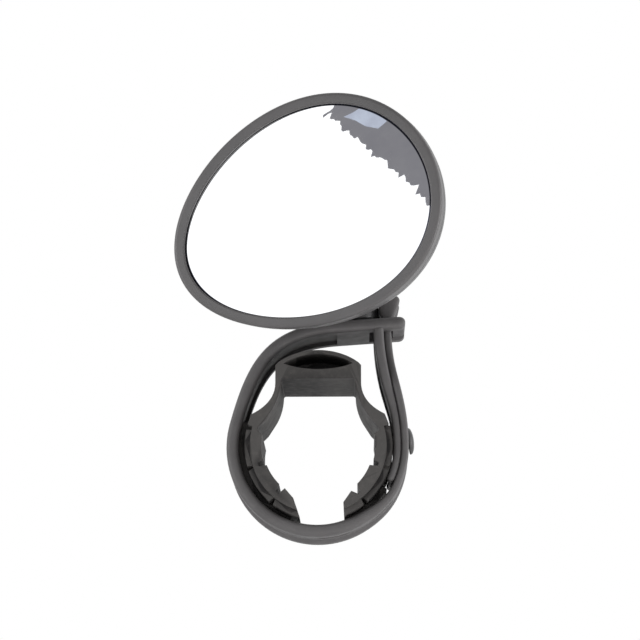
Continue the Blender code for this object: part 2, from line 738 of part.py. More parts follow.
def make_liner(mat):
    outside, inside = liner_half(RIGHT_TOE)
    left_outside, left_inside = liner_half(LEFT_TOE)
    outline = outside + [(-x, z) for x, z in reversed(left_outside[:-1])]
    outline += [(-x, z) for x, z in reversed(left_inside[1:])] + inside
    place = Matrix.Translation(LINER_CENTRE)
    liner = add_object("grip_liner", extruded(outline, LINER_HALF_DEPTH), mat, place)
    half = LINER_HALF_DEPTH / 2 + 1 * MM
    for side in (-1, 1):
        hole = shift(extruded(hole_outline(), half), 0, side * (half + BRIDGE_WEB))
        boolean(liner, add_object("bridge_hole", hole, None, place), "DIFFERENCE")
    add_ribs(liner)
    recess = prism(circle(0, 0, PLATE_R + 2 * GAP), STUD_RECESS, TONGUE_R)
    boolean(liner, add_object("stud_recess", recess, None, across_band(STUD_ANGLE)), "DIFFERENCE")
    return liner


def main():
    clear_scene()
    glass = material("mirror_glass", (0.9, 0.92, 0.95), 0.03, 1.0)
    foam = material("foam_pad", (0.12, 0.12, 0.12), 0.9)
    shell = material("shell_plastic", BLACK, 0.45)
    joint = material("joint_plastic", BLACK, 0.4)
    nylon = material("nylon", (0.6, 0.59, 0.55), 0.5)
    steel = material("steel", (0.6, 0.6, 0.62), 0.35, 1.0)
    rubber = material("rubber", RUBBER, 0.6)
    head, post = mirror_matrix(), post_matrix()
    make_lens(glass, head)
    make_pad(foam, head)
    make_bezel(shell, head)
    make_cover(shell, head)
    make_arm(joint, head)
    make_arm_screws(steel, head)
    make_cup(joint, post)
    make_collar(joint, post)
    make_ball_seat(nylon, head)
    make_pivot(steel, post)
    make_base_plate(joint, post)
    make_strap(rubber, post)
    make_stud(joint)
    make_liner(rubber)


main()
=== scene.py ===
# Looks for a strap-on handlebar mirror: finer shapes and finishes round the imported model.
# +X right, +Y along the handlebar away from the camera, +Z up, metres.

import json
from math import atan2, cos, pi, radians, sin

import bmesh
import bpy
from mathutils import Matrix, Vector, noise


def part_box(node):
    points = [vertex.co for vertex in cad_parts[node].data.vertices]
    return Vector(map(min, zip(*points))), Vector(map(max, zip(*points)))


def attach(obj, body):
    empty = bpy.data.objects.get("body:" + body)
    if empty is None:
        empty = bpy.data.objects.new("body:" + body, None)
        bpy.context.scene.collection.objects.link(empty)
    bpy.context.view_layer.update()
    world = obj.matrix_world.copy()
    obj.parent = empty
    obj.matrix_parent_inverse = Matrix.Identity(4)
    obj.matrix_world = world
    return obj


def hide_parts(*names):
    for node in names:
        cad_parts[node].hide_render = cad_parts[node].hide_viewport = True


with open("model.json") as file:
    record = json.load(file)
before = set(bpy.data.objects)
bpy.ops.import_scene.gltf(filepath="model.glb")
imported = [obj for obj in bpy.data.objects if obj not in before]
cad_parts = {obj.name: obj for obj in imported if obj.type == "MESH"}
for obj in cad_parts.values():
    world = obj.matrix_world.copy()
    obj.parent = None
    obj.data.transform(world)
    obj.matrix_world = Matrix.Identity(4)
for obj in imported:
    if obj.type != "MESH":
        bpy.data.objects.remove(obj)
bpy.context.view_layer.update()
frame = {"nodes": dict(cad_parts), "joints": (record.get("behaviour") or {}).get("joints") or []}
mm = 0.001
print("frame loaded:", len(frame["nodes"]), "nodes")


# Places taken from the frame

joints = {joint["name"]: joint for joint in frame["joints"]}
ballCentre = Vector(joints["head_roll"]["pos_m"])


def placeAtBall(across, out):
    z = Vector(out).normalized()
    x = (Vector(across) - z * z.dot(Vector(across))).normalized()
    place = Matrix((x, z.cross(x), z)).transposed().to_4x4()
    place.translation = ballCentre
    return place


# the head's z comes out of the glass and its x lies the long way; the post's z goes up the socket
headPlace = placeAtBall(joints["head_nod"]["axis"], joints["head_roll"]["axis"])
postPlace = placeAtBall((1, 0, 0), joints["socket_swivel"]["axis"])


def nodeBox(node, place):
    inward = place.inverted()
    points = [inward @ v.co for v in frame["nodes"][node].data.vertices]
    low = Vector([min(p[k] for p in points) for k in range(3)])
    high = Vector([max(p[k] for p in points) for k in range(3)])
    return low, high


# Small helpers round the operators

def leaveEdit():
    bpy.ops.object.mode_set(mode="OBJECT")


def clearSelection():
    if bpy.context.mode != "OBJECT":
        leaveEdit()
    bpy.ops.object.select_all(action="DESELECT")


def makeActive(obj):
    clearSelection()
    obj.select_set(True)
    bpy.context.view_layer.objects.active = obj


def edit(obj):
    makeActive(obj)
    bpy.ops.object.mode_set(mode="EDIT")


def pick(kind, test):
    # selects the faces or edges of the edited mesh that pass the test
    bpy.ops.mesh.select_mode(type={"faces": "FACE", "edges": "EDGE"}[kind])
    bpy.ops.mesh.select_all(action="DESELECT")
    mesh = bmesh.from_edit_mesh(bpy.context.object.data)
    for part in getattr(mesh, kind):
        if test(part):
            part.select_set(True)
    mesh.select_flush_mode()
    bmesh.update_edit_mesh(bpy.context.object.data)


def pull(rise):
    bpy.ops.mesh.extrude_region_move(TRANSFORM_OT_translate={"value": (0, 0, rise)})


def stepIn(width, rise=0.0):
    bpy.ops.mesh.inset(thickness=width, depth=rise, use_even_offset=True)


def pullAndScale(rise, scale, centre):
    pull(rise)
    bpy.ops.transform.resize(value=(scale, scale, 1), center_override=centre)


def quarterSteps(radius, count):
    # inward and upward steps of a quarter round, from the side to the top
    turns = [pi / 2 * i / count for i in range(count + 1)]
    for a, b in zip(turns, turns[1:]):
        yield radius * (cos(a) - cos(b)), radius * (sin(b) - sin(a))


def tidyNormals():
    bpy.ops.mesh.select_all(action="SELECT")
    bpy.ops.mesh.remove_doubles(threshold=0.002 * mm)
    bpy.ops.mesh.normals_make_consistent(inside=False)


def closeOpenEnds():
    bpy.ops.mesh.select_mode(type="EDGE")
    bpy.ops.mesh.select_all(action="DESELECT")
    bpy.ops.mesh.select_non_manifold(extend=False)
    bpy.ops.mesh.fill_holes(sides=0)


def applyAll(obj):
    makeActive(obj)
    for modifier in list(obj.modifiers):
        bpy.ops.object.modifier_apply(modifier=modifier.name)


def combine(obj, tool, how):
    cut = obj.modifiers.new("combine", "BOOLEAN")
    cut.operation = how
    cut.object = tool
    applyAll(obj)
    bpy.data.objects.remove(tool)


def roundEdges(obj, width, count, angle):
    soften = obj.modifiers.new("soften", "BEVEL")
    soften.width = width
    soften.segments = count
    soften.limit_method = "ANGLE"
    soften.angle_limit = radians(angle)
    applyAll(obj)


def roundedBlock(size, centre, corner, soft=0.0):
    # block whose upright edges are rounded by corner and the rest by soft
    clearSelection()
    bpy.ops.mesh.primitive_cube_add(size=1, location=centre)
    block = bpy.context.object
    block.scale = size
    bpy.ops.object.transform_apply(location=True, rotation=True, scale=True)
    bpy.ops.object.mode_set(mode="EDIT")
    pick("edges", lambda e: abs((e.verts[0].co - e.verts[1].co).normalized().z) > 0.9)
    bpy.ops.mesh.bevel(offset=corner, segments=8, affect="EDGES")
    if soft:
        pick("edges", lambda e: e.calc_face_angle(0) > radians(60))
        bpy.ops.mesh.bevel(offset=soft, segments=3, affect="EDGES")
    leaveEdit()
    return block


def flatBlock(size, centre, corner):
    # the same block with its height turned to lie through the band
    block = roundedBlock(size, centre, corner)
    block.data.transform(Matrix.Rotation(pi / 2, 4, "X"))
    return block


def rollGrid(rings):
    # a flat grid rolled into a tube through rings of points, its ends closed
    clearSelection()
    around, along = len(rings[0]), len(rings) - 1
    bpy.ops.mesh.primitive_grid_add(x_subdivisions=around, y_subdivisions=along, size=1)
    tube = bpy.context.object
    for v in tube.data.vertices:
        i, j = round((v.co.x + 0.5) * around), round((v.co.y + 0.5) * along)
        v.co = rings[j][i % around]
    bpy.ops.object.mode_set(mode="EDIT")
    tidyNormals()
    closeOpenEnds()
    tidyNormals()
    leaveEdit()
    return tube


def latheProfile(profile, steps):
    # (radius, height) points joined and spun about Z
    clearSelection()
    bpy.ops.mesh.primitive_plane_add(size=1)
    turned = bpy.context.object
    bpy.ops.object.mode_set(mode="EDIT")
    bpy.ops.mesh.select_mode(type="VERT")
    bpy.ops.mesh.select_all(action="SELECT")
    bpy.ops.mesh.merge(type="CENTER")
    bpy.ops.mesh.select_all(action="SELECT")
    start = Vector((profile[0][0], 0, profile[0][1]))
    bpy.ops.transform.translate(value=start)
    for a, b in zip(profile, profile[1:]):
        move = (b[0] - a[0], 0, b[1] - a[1])
        bpy.ops.mesh.extrude_vertices_move(TRANSFORM_OT_translate={"value": move})
    bpy.ops.mesh.select_all(action="SELECT")
    bpy.ops.mesh.spin(steps=steps, angle=2 * pi, center=(0, 0, 0), axis=(0, 0, 1))
    tidyNormals()
    leaveEdit()
    return turned


def roundCorner(centre, radius, start, end, steps):
    turns = [radians(start + (end - start) * i / steps) for i in range(steps + 1)]
    return [(centre[0] + radius * cos(a), centre[1] + radius * sin(a)) for a in turns]


def polar(radius, angle):
    return radius * cos(radians(angle)), radius * sin(radians(angle))


def bezier(p0, p1, p2, p3, steps):
    points = []
    for i in range(steps + 1):
        t = i / steps
        weights = ((1 - t) ** 3, 3 * t * (1 - t) ** 2, 3 * t * t * (1 - t), t**3)
        points.append(tuple(sum(w * p[k] for w, p in zip(weights, (p0, p1, p2, p3))) for k in (0, 1)))
    return points


def ease(t):
    t = min(max(t, 0.0), 1.0)
    return t * t * (3 - 2 * t)


def finishPiece(obj, name, body, nodes, finish, place=None, angle=35):
    # sets a modelled piece in its place, smooths it and ties it to its body
    if place:
        obj.data.transform(place)
    edit(obj)
    tidyNormals()
    leaveEdit()
    bpy.ops.object.shade_smooth_by_angle(angle=radians(angle))
    flat = obj.modifiers.new("flat", "WEIGHTED_NORMAL")
    flat.keep_sharp = True
    applyAll(obj)
    obj.name = obj.data.name = name
    obj.data.materials.clear()
    obj.data.materials.append(finish)
    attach(obj, body)
    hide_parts(*nodes)
    print("made", name, len(obj.data.polygons), "faces")


# Finishes

def newFinish(name):
    finish = bpy.data.materials.new(name)
    finish.use_nodes = True
    nodes, links = finish.node_tree.nodes, finish.node_tree.links
    return finish, nodes, links, nodes["Principled BSDF"]


def addNoise(nodes, links, scale, detail=4.0, rough=0.5):
    place = nodes.new("ShaderNodeTexCoord")
    grain = nodes.new("ShaderNodeTexNoise")
    grain.inputs["Scale"].default_value = scale
    grain.inputs["Detail"].default_value = detail
    grain.inputs["Roughness"].default_value = rough
    links.new(place.outputs["Object"], grain.inputs["Vector"])
    return grain.outputs["Fac"]


def addRange(nodes, links, value, low, high, fromLow=0.3, fromHigh=0.7):
    span = nodes.new("ShaderNodeMapRange")
    span.inputs["From Min"].default_value = fromLow
    span.inputs["From Max"].default_value = fromHigh
    span.inputs["To Min"].default_value = low
    span.inputs["To Max"].default_value = high
    links.new(value, span.inputs["Value"])
    return span.outputs["Result"]


def addColourMix(nodes, links, share, first, second):
    mix = nodes.new("ShaderNodeMix")
    mix.data_type = "RGBA"
    links.new(share, mix.inputs["Factor"])
    for socket, colour in (("A", first), ("B", second)):
        place = [s for s in mix.inputs if s.name == socket and s.type == "RGBA"][0]
        if isinstance(colour, bpy.types.NodeSocket):
            links.new(colour, place)
        else:
            place.default_value = (*colour, 1)
    return [s for s in mix.outputs if s.type == "RGBA"][0]


def addBump(nodes, links, height, strength, distance, under=None):
    bump = nodes.new("ShaderNodeBump")
    bump.inputs["Strength"].default_value = strength
    bump.inputs["Distance"].default_value = distance
    links.new(height, bump.inputs["Height"])
    if under:
        links.new(under, bump.inputs["Normal"])
    return bump.outputs["Normal"]


def mouldedFinish(name, look):
    # black moulding: cloudy tone, dusty patches, a painted highlight along convex edges and a fine grain
    finish, nodes, links, shader = newFinish(name)
    cloud = addRange(nodes, links, addNoise(nodes, links, look["cloudScale"]), 0, 1)
    tone = addColourMix(nodes, links, cloud, look["dark"], look["light"])
    dust = addNoise(nodes, links, look["dustScale"], 8, 0.65)
    dust = addRange(nodes, links, dust, 0, look["dust"], 0.5, 0.75)
    tone = addColourMix(nodes, links, dust, tone, look["dustTone"])
    # painted highlight: convex edges are lightened by pointiness, standing in for the light that rounded
    # edges catch
    edges = nodes.new("ShaderNodeNewGeometry")
    paintedHighlight = addRange(nodes, links, edges.outputs["Pointiness"], 0, look["edgeHighlightAmount"], 0.505, 0.56)
    tone = addColourMix(nodes, links, paintedHighlight, tone, look["edgeHighlightTone"])
    links.new(tone, shader.inputs["Base Color"])
    blotch = addNoise(nodes, links, look["cloudScale"] * 3, 6, 0.6)
    links.new(addRange(nodes, links, blotch, *look["roughness"]), shader.inputs["Roughness"])
    grain = addNoise(nodes, links, look["grainScale"], 3, 0.6)
    grain = addBump(nodes, links, grain, look["grain"], 0.04 * mm)
    wave = addNoise(nodes, links, look["waveScale"], 2, 0.5)
    links.new(addBump(nodes, links, wave, look["wave"], 0.15 * mm, grain), shader.inputs["Normal"])
    shader.inputs["Specular IOR Level"].default_value = look["gloss"]
    return finish


# each look's edge highlight tone and amount paint light onto convex edges
shellLook = dict(dark=(0.088, 0.085, 0.087), light=(0.112, 0.107, 0.109), cloudScale=90,
                 dustTone=(0.16, 0.155, 0.15), dust=0.10, dustScale=420,
                 edgeHighlightTone=(0.12, 0.12, 0.122), edgeHighlightAmount=0.5, roughness=(0.36, 0.5), gloss=0.5,
                 grainScale=5200, grain=0.35, waveScale=160, wave=0.12)
rubberLook = dict(dark=(0.080, 0.077, 0.079), light=(0.108, 0.104, 0.106), cloudScale=110,
                  dustTone=(0.2, 0.19, 0.18), dust=0.16, dustScale=520,
                  edgeHighlightTone=(0.14, 0.137, 0.135), edgeHighlightAmount=0.4, roughness=(0.44, 0.6), gloss=0.5,
                  grainScale=3600, grain=0.5, waveScale=210, wave=0.2)
linerLook = dict(dark=(0.008, 0.0075, 0.0078), light=(0.017, 0.0155, 0.0158), cloudScale=120,
                 dustTone=(0.2, 0.18, 0.165), dust=0.2, dustScale=600,
                 edgeHighlightTone=(0.13, 0.125, 0.12), edgeHighlightAmount=0.5, roughness=(0.55, 0.72), gloss=0.3,
                 grainScale=2800, grain=0.6, waveScale=260, wave=0.25)
jointLook = dict(dark=(0.016, 0.016, 0.018), light=(0.026, 0.026, 0.028), cloudScale=140,
                 dustTone=(0.15, 0.145, 0.14), dust=0.1, dustScale=500,
                 edgeHighlightTone=(0.12, 0.12, 0.12), edgeHighlightAmount=0.6, roughness=(0.32, 0.46), gloss=0.5,
                 grainScale=4600, grain=0.35, waveScale=200, wave=0.12)
# the last tone is painted shade for the glass's edge
glassLook = dict(clean=(0.985, 0.99, 1.0), smeared=(0.95, 0.96, 0.98), bare=(0.012, 0.014, 0.028))
steelLook = dict(dark=(0.5, 0.5, 0.52), light=(0.68, 0.68, 0.7), roughness=(0.26, 0.42))
nylonLook = dict(dark=(0.56, 0.54, 0.49), light=(0.66, 0.64, 0.6), roughness=(0.4, 0.55))
foamLook = dict(pit=(0.05, 0.05, 0.05), skin=(0.1, 0.1, 0.1), cellScale=2200)


def mirrorFinish():
    # silvered glass: bright metal under a clear coat, faintly smeared, with painted shade as a dark bluish
    # band round its edge
    finish, nodes, links, shader = newFinish("silveredGlass")
    # the mark on the glass's edge points switches in the painted shade band
    edge = nodes.new("ShaderNodeAttribute")
    edge.attribute_name = "bareEdge"
    smear = addRange(nodes, links, addNoise(nodes, links, 45, 5, 0.6), 0, 1)
    tone = addColourMix(nodes, links, smear, glassLook["smeared"], glassLook["clean"])
    tone = addColourMix(nodes, links, edge.outputs["Fac"], tone, glassLook["bare"])
    links.new(tone, shader.inputs["Base Color"])
    specks = addNoise(nodes, links, 2600, 2, 0.5)
    links.new(addRange(nodes, links, specks, 0.012, 0.05, 0.6, 0.85), shader.inputs["Roughness"])
    shader.inputs["Metallic"].default_value = 1.0
    shader.inputs["Coat Weight"].default_value = 0.6
    shader.inputs["Coat Roughness"].default_value = 0.02
    return finish


def steelFinish():
    # zinc-plated screw steel with fine turning marks
    finish, nodes, links, shader = newFinish("platedSteel")
    marks = addNoise(nodes, links, 1500, 6, 0.7)
    share = addRange(nodes, links, marks, 0, 1)
    tone = addColourMix(nodes, links, share, steelLook["dark"], steelLook["light"])
    links.new(tone, shader.inputs["Base Color"])
    blotch = addNoise(nodes, links, 700, 4)
    links.new(addRange(nodes, links, blotch, *steelLook["roughness"]), shader.inputs["Roughness"])
    links.new(addBump(nodes, links, marks, 0.2, 0.02 * mm), shader.inputs["Normal"])
    shader.inputs["Metallic"].default_value = 1.0
    return finish


def nylonFinish():
    finish, nodes, links, shader = newFinish("naturalNylon")
    cloud = addRange(nodes, links, addNoise(nodes, links, 260, 3), 0, 1)
    tone = addColourMix(nodes, links, cloud, nylonLook["dark"], nylonLook["light"])
    links.new(tone, shader.inputs["Base Color"])
    blotch = addNoise(nodes, links, 900, 4)
    links.new(addRange(nodes, links, blotch, *nylonLook["roughness"]), shader.inputs["Roughness"])
    shader.inputs["Subsurface Weight"].default_value = 0.1
    shader.inputs["Subsurface Scale"].default_value = 0.5 * mm
    return finish


def foamFinish():
    # closed-cell tape: small round pits
    finish, nodes, links, shader = newFinish("foamTape")
    place = nodes.new("ShaderNodeTexCoord")
    cells = nodes.new("ShaderNodeTexVoronoi")
    cells.inputs["Scale"].default_value = foamLook["cellScale"]
    links.new(place.outputs["Object"], cells.inputs["Vector"])
    pits = addRange(nodes, links, cells.outputs["Distance"], 0, 1, 0.1, 0.6)
    tone = addColourMix(nodes, links, pits, foamLook["pit"], foamLook["skin"])
    links.new(tone, shader.inputs["Base Color"])
    links.new(addRange(nodes, links, pits, 0.95, 0.8, 0, 1), shader.inputs["Roughness"])
    links.new(addBump(nodes, links, pits, 0.6, 0.1 * mm), shader.inputs["Normal"])
    return finish


shellPlastic = mouldedFinish("shellPlastic", shellLook)
strapRubber = mouldedFinish("strapRubber", rubberLook)
linerRubber = mouldedFinish("linerRubber", linerLook)
jointPlastic = mouldedFinish("jointPlastic", jointLook)
silveredGlass = mirrorFinish()
platedSteel = steelFinish()
print("finishes ready")


# Mirror head

head = dict(steps=160, skew=0.126, outerRound=0.9 * mm, frontWidth=2.7 * mm, lip=1.2 * mm,
            innerRound=0.3 * mm, wall=1.3 * mm)
# the edge shade width sets how far the painted dark band reaches in from the glass's edge
glass = dict(bulge=1.3 * mm, rings=22, bareEdge=1.55 * mm, silverEdge=0.15 * mm)


def eggDisc(low, high, depth):
    # a filled circle pushed into the egg outline that fits the box
    clearSelection()
    bpy.ops.mesh.primitive_circle_add(vertices=head["steps"], radius=1, fill_type="NGON")
    disc = bpy.context.object
    for v in disc.data.vertices:
        v.co.y *= 1 + head["skew"] * v.co.x
    tall = max(v.co.y for v in disc.data.vertices)
    half, middle = (high - low) / 2, (high + low) / 2
    disc.data.transform(Matrix.Diagonal((half.x, half.y / tall, 1, 1)))
    disc.data.transform(Matrix.Translation((middle.x, middle.y, depth)))
    bpy.ops.object.mode_set(mode="EDIT")
    bpy.ops.mesh.select_all(action="SELECT")
    return disc, middle


def makeBezel():
    low, high = nodeBox("bezel_frame", headPlace)
    ring, middle = eggDisc(low, high, low.z)
    pull(high.z - low.z - head["outerRound"])
    for inward, rise in quarterSteps(head["outerRound"], 6):
        stepIn(inward, rise)
    stepIn(head["frontWidth"] - head["outerRound"] - head["innerRound"])
    for rise, inward in reversed(list(quarterSteps(head["innerRound"], 4))):
        stepIn(inward, -rise)
    pull(head["innerRound"] - head["lip"])
    grow = 1 + (head["frontWidth"] - head["wall"]) / ((high - low).x / 2 - head["frontWidth"])
    pullAndScale(0, grow, middle)
    pull(low.z - high.z + head["lip"])
    bpy.ops.mesh.delete(type="FACE")
    pick("faces", lambda f: len(f.verts) > 8)
    bpy.ops.mesh.delete(type="FACE")
    bpy.ops.mesh.select_mode(type="EDGE")
    bpy.ops.mesh.select_non_manifold()
    bpy.ops.mesh.bridge_edge_loops()
    leaveEdit()
    finishPiece(ring, "bezelRing", "mirror_head", ["bezel_frame"], shellPlastic, headPlace)


def makeGlass():
    low, high = nodeBox("mirror_lens", headPlace)
    bulge, bare, rings = glass["bulge"], glass["bareEdge"], glass["rings"]
    disc, middle = eggDisc(low, high, low.z)
    edgeTop = high.z - bulge
    pull(edgeTop - low.z)
    reach = (high.x - low.x) / 2
    sizes = [1, 1 - bare / reach, 1 - (bare + glass["silverEdge"]) / reach]
    sizes += [sizes[-1] * (1 - i / rings) for i in range(1, rings)]
    for now, after in zip(sizes, sizes[1:]):
        pullAndScale(bulge * (now**2 - after**2), after / now, middle)
    pull(bulge * sizes[-1] ** 2)
    bpy.ops.mesh.merge(type="CENTER")
    closeOpenEnds()
    leaveEdit()
    # painted shade: the points nearest the glass's edge are marked for the dark band, in place of the shade
    # under the bezel's lip
    limit = edgeTop + bulge * (1 - (sizes[1] + sizes[2]) ** 2 / 4)
    bareEdge = disc.data.attributes.new("bareEdge", "FLOAT", "POINT")
    for v, mark in zip(disc.data.vertices, bareEdge.data):
        mark.value = 1.0 if v.co.z < limit else 0.0
    finishPiece(disc, "mirrorGlass", "mirror_head", ["mirror_lens"], silveredGlass, headPlace)


cover = dict(rimGap=0.3 * mm, sideDepth=3.7 * mm, taper=0.991, dome=4.4 * mm, domeSteps=14, wall=1.6 * mm,
             pocket=1.9 * mm, seatSize=(15.2 * mm, 11.6 * mm, 3.0 * mm), seatRise=12.0 * mm,
             seatBack=3.3 * mm, seatCorner=2.2 * mm, seatRound=0.35 * mm)


def makeCover():
    low, high = nodeBox("rear_cover", headPlace)
    front = nodeBox("bezel_frame", headPlace)[0].z - cover["rimGap"]
    shell, middle = eggDisc(low, high, front)
    bpy.ops.mesh.flip_normals()  # works backwards from the front edge
    pull(-cover["sideDepth"])
    bpy.ops.transform.resize(value=(cover["taper"], cover["taper"], 1), center_override=middle)
    turns = [radians(88) * i / cover["domeSteps"] for i in range(cover["domeSteps"] + 1)]
    for a, b in zip(turns, turns[1:]):
        pullAndScale(cover["dome"] * (sin(a) - sin(b)), cos(b) / cos(a), middle)
    bpy.ops.mesh.merge(type="CENTER")
    closeOpenEnds()
    pick("faces", lambda f: len(f.verts) > 8)
    stepIn(cover["wall"])
    pull(-cover["pocket"])
    tidyNormals()
    leaveEdit()
    seatMiddle = (0, cover["seatRise"], front - cover["sideDepth"] - cover["seatBack"])
    seat = roundedBlock(cover["seatSize"], seatMiddle, cover["seatCorner"], cover["seatRound"])
    combine(shell, seat, "UNION")
    finishPiece(shell, "rearShell", "mirror_head", ["rear_cover"], shellPlastic,
                headPlace, 30)


makeBezel()
makeGlass()
makeCover()
print("mirror head ready")


# Arm, screws and socket

arm = dict(ballRadius=4.0 * mm, stalk=1.6 * mm, neckSwell=0.5 * mm, neckFade=2.4,
           stalkPull=((9 * mm, 0), (11.5 * mm, 1.5 * mm)), flare=18.2 * mm, flareFrom=0.62,
           footSize=(14.4 * mm, 10.8 * mm, 2.1 * mm), footFront=12.3 * mm, footRise=cover["seatRise"],
           footCorner=1.9 * mm, footRound=0.4 * mm, screwSpread=4.9 * mm, screwHole=(1.25 * mm, 6 * mm))


def makeArm():
    back = arm["footFront"] - arm["footSize"][2]
    clearSelection()
    bpy.ops.mesh.primitive_uv_sphere_add(segments=48, ring_count=24, radius=arm["ballRadius"])
    ball = bpy.context.object
    line = bezier((1.5 * mm, 0), *arm["stalkPull"], (arm["footRise"], back + 0.6 * mm), 20)
    rings = []
    for i, (rise, reach) in enumerate(line):
        before, after = line[max(i - 1, 0)], line[min(i + 1, len(line) - 1)]
        tilt = atan2(after[1] - before[1], after[0] - before[0])
        t = i / (len(line) - 1)
        radius = arm["stalk"] + arm["neckSwell"] * (1 - ease(t * arm["neckFade"]))
        radius += arm["flare"] * max(0, t - arm["flareFrom"]) ** 2
        side, up = Vector((1, 0, 0)), Vector((0, -sin(tilt), cos(tilt)))
        turns = [2 * pi * k / 28 for k in range(28)]
        rings.append([Vector((0, rise, reach)) + radius * (cos(a) * side + sin(a) * up) for a in turns])
    combine(ball, rollGrid(rings), "UNION")
    footMiddle = (0, arm["footRise"], back + arm["footSize"][2] / 2)
    foot = roundedBlock(arm["footSize"], footMiddle, arm["footCorner"], arm["footRound"])
    combine(ball, foot, "UNION")
    radius, depth = arm["screwHole"]
    for side in (-1, 1):
        clearSelection()
        bpy.ops.mesh.primitive_cylinder_add(vertices=32, radius=radius, depth=depth,
                                            location=(side * arm["screwSpread"], arm["footRise"], back))
        combine(ball, bpy.context.object, "DIFFERENCE")
    finishPiece(ball, "ballArm", "mirror_head", ["ball_arm"], jointPlastic, headPlace, 40)


screw = dict(headRadius=1.9 * mm, headHeight=1.4 * mm, shank=1.0 * mm, length=6.0 * mm,
             crossWidth=0.55 * mm, crossLength=2.1 * mm, crossDepth=0.8 * mm,
             ridges=9, ridgePitch=0.55 * mm, ridgeFall=0.27 * mm, ridgeTop=5.2 * mm, rootShare=0.78,
             turns=dict(left=24, right=71))


def makeScrews():
    shank, r, h = screw["shank"], screw["headRadius"], screw["headHeight"]
    seat = nodeBox("arm_screw_left", headPlace)[0].z + h
    profile = [(0, seat + screw["length"]), (shank * 0.5, seat + screw["length"] - 0.3 * mm)]
    for i in range(screw["ridges"]):  # cut thread, drawn as even ridges
        rise = seat + screw["ridgeTop"] - i * screw["ridgePitch"]
        profile += [(shank * screw["rootShare"], rise), (shank, rise - screw["ridgeFall"])]
    profile += [(shank, seat), (r - 0.15 * mm, seat)]
    profile += [(r, seat - 0.15 * mm), (r, seat - 0.45 * h)]
    turns = [radians(k) for k in (20, 40, 60, 78)]
    profile += [(r * cos(a), seat - 0.45 * h - 0.55 * h * sin(a)) for a in turns] + [(0, seat - h)]
    turned = latheProfile(profile, 40)
    for turn in (0, pi / 2):
        clearSelection()
        bpy.ops.mesh.primitive_cube_add(size=1, location=(0, 0, seat - h))
        slot = bpy.context.object
        slot.scale = (screw["crossLength"], screw["crossWidth"], screw["crossDepth"] * 2)
        slot.rotation_euler.z = turn
        bpy.ops.object.transform_apply(location=True, rotation=True, scale=True)
        combine(turned, slot, "DIFFERENCE")
    for name, side in (("left", -1), ("right", 1)):
        makeActive(turned)
        bpy.ops.object.duplicate()
        one = bpy.context.object
        one.data.transform(Matrix.Rotation(radians(screw["turns"][name]), 4, "Z"))
        one.data.transform(Matrix.Translation((side * arm["screwSpread"], arm["footRise"], 0)))
        finishPiece(one, "armScrew." + name, "mirror_head", ["arm_screw_" + name], platedSteel,
                    headPlace, 30)
    bpy.data.objects.remove(turned)


socket = dict(wall=6.7 * mm, neck=6.1 * mm, bore=5.4 * mm, foot=3.7 * mm, footRound=0.9 * mm, edge=0.3 * mm,
              washerSeat=(2.4 * mm, -6.35 * mm), screwHole=(1.5 * mm, -6.95 * mm))
collar = dict(gap=0.3 * mm, lip=3.9 * mm, lipThick=0.7 * mm, topRound=1.2 * mm, flutes=28,
              fluteDepth=0.28 * mm)


def makeSocket():
    low, high = nodeBox("socket_cup", postPlace)
    wall, neck, bore, foot = (socket[k] for k in ("wall", "neck", "bore", "foot"))
    soft, edge = socket["footRound"], socket["edge"]
    shoulder = nodeBox("socket_collar", postPlace)[0].z - collar["gap"]
    profile = [(foot, low.z), (wall - soft, low.z)]
    profile += roundCorner((wall - soft, low.z + soft), soft, -80, 0, 5)
    profile += [(wall, shoulder - 1.5 * mm), (wall - edge, shoulder - 1.3 * mm)]  # a groove round the wall
    profile += [(wall - edge, shoulder - 1.0 * mm), (wall, shoulder - 0.8 * mm)]
    profile += [(wall, shoulder - 0.2 * mm), (wall - 0.2 * mm, shoulder)]
    profile += [(neck, shoulder), (neck, high.z - edge), (neck - edge, high.z), (bore, high.z)]
    profile += roundCorner((0, 0), bore, 0, -60, 12)
    (seat, top), (hole, under) = socket["washerSeat"], socket["screwHole"]
    profile += [(seat, top), (hole, top), (hole, under), (foot, under)]
    cup = latheProfile(profile + profile[:1], 80)
    finishPiece(cup, "socketCup", "socket", ["socket_cup"], jointPlastic, postPlace, 30)


def makeCollar():
    low, high = nodeBox("socket_collar", postPlace)
    outer, bore, lip, soft = high.x, socket["neck"] + collar["gap"], collar["lip"], collar["topRound"]
    under = high.z - collar["lipThick"]
    profile = [(bore, low.z), (outer - 0.3 * mm, low.z), (outer, low.z + 0.3 * mm)]
    profile += [(outer, low.z + 0.5 * mm), (outer, high.z - 1.5 * mm), (outer, high.z - soft)]
    profile += roundCorner((outer - soft, high.z - soft), soft, 10, 90, 6)
    profile += [(lip + 0.5 * mm, high.z), (lip + 0.15 * mm, high.z - 0.12 * mm), (lip, high.z - 0.4 * mm)]
    profile += [(lip, under), (bore, under)]
    ring = latheProfile(profile + profile[:1], collar["flutes"] * 6)
    for v in ring.data.vertices:  # grip flutes round the outside
        radius, turn = Vector((v.co.x, v.co.y)).length, atan2(v.co.y, v.co.x)
        if radius > outer - 0.05 * mm and low.z + 0.4 * mm < v.co.z < high.z - 1.3 * mm:
            dip = max(0.0, cos(turn * collar["flutes"])) * collar["fluteDepth"]
            v.co.x *= (radius - dip) / radius
            v.co.y *= (radius - dip) / radius
    finishPiece(ring, "socketCollar", "socket", ["socket_collar"], jointPlastic,
                postPlace, 30)


makeArm()
makeScrews()
makeSocket()
makeCollar()
print("joint ready")


# Strap

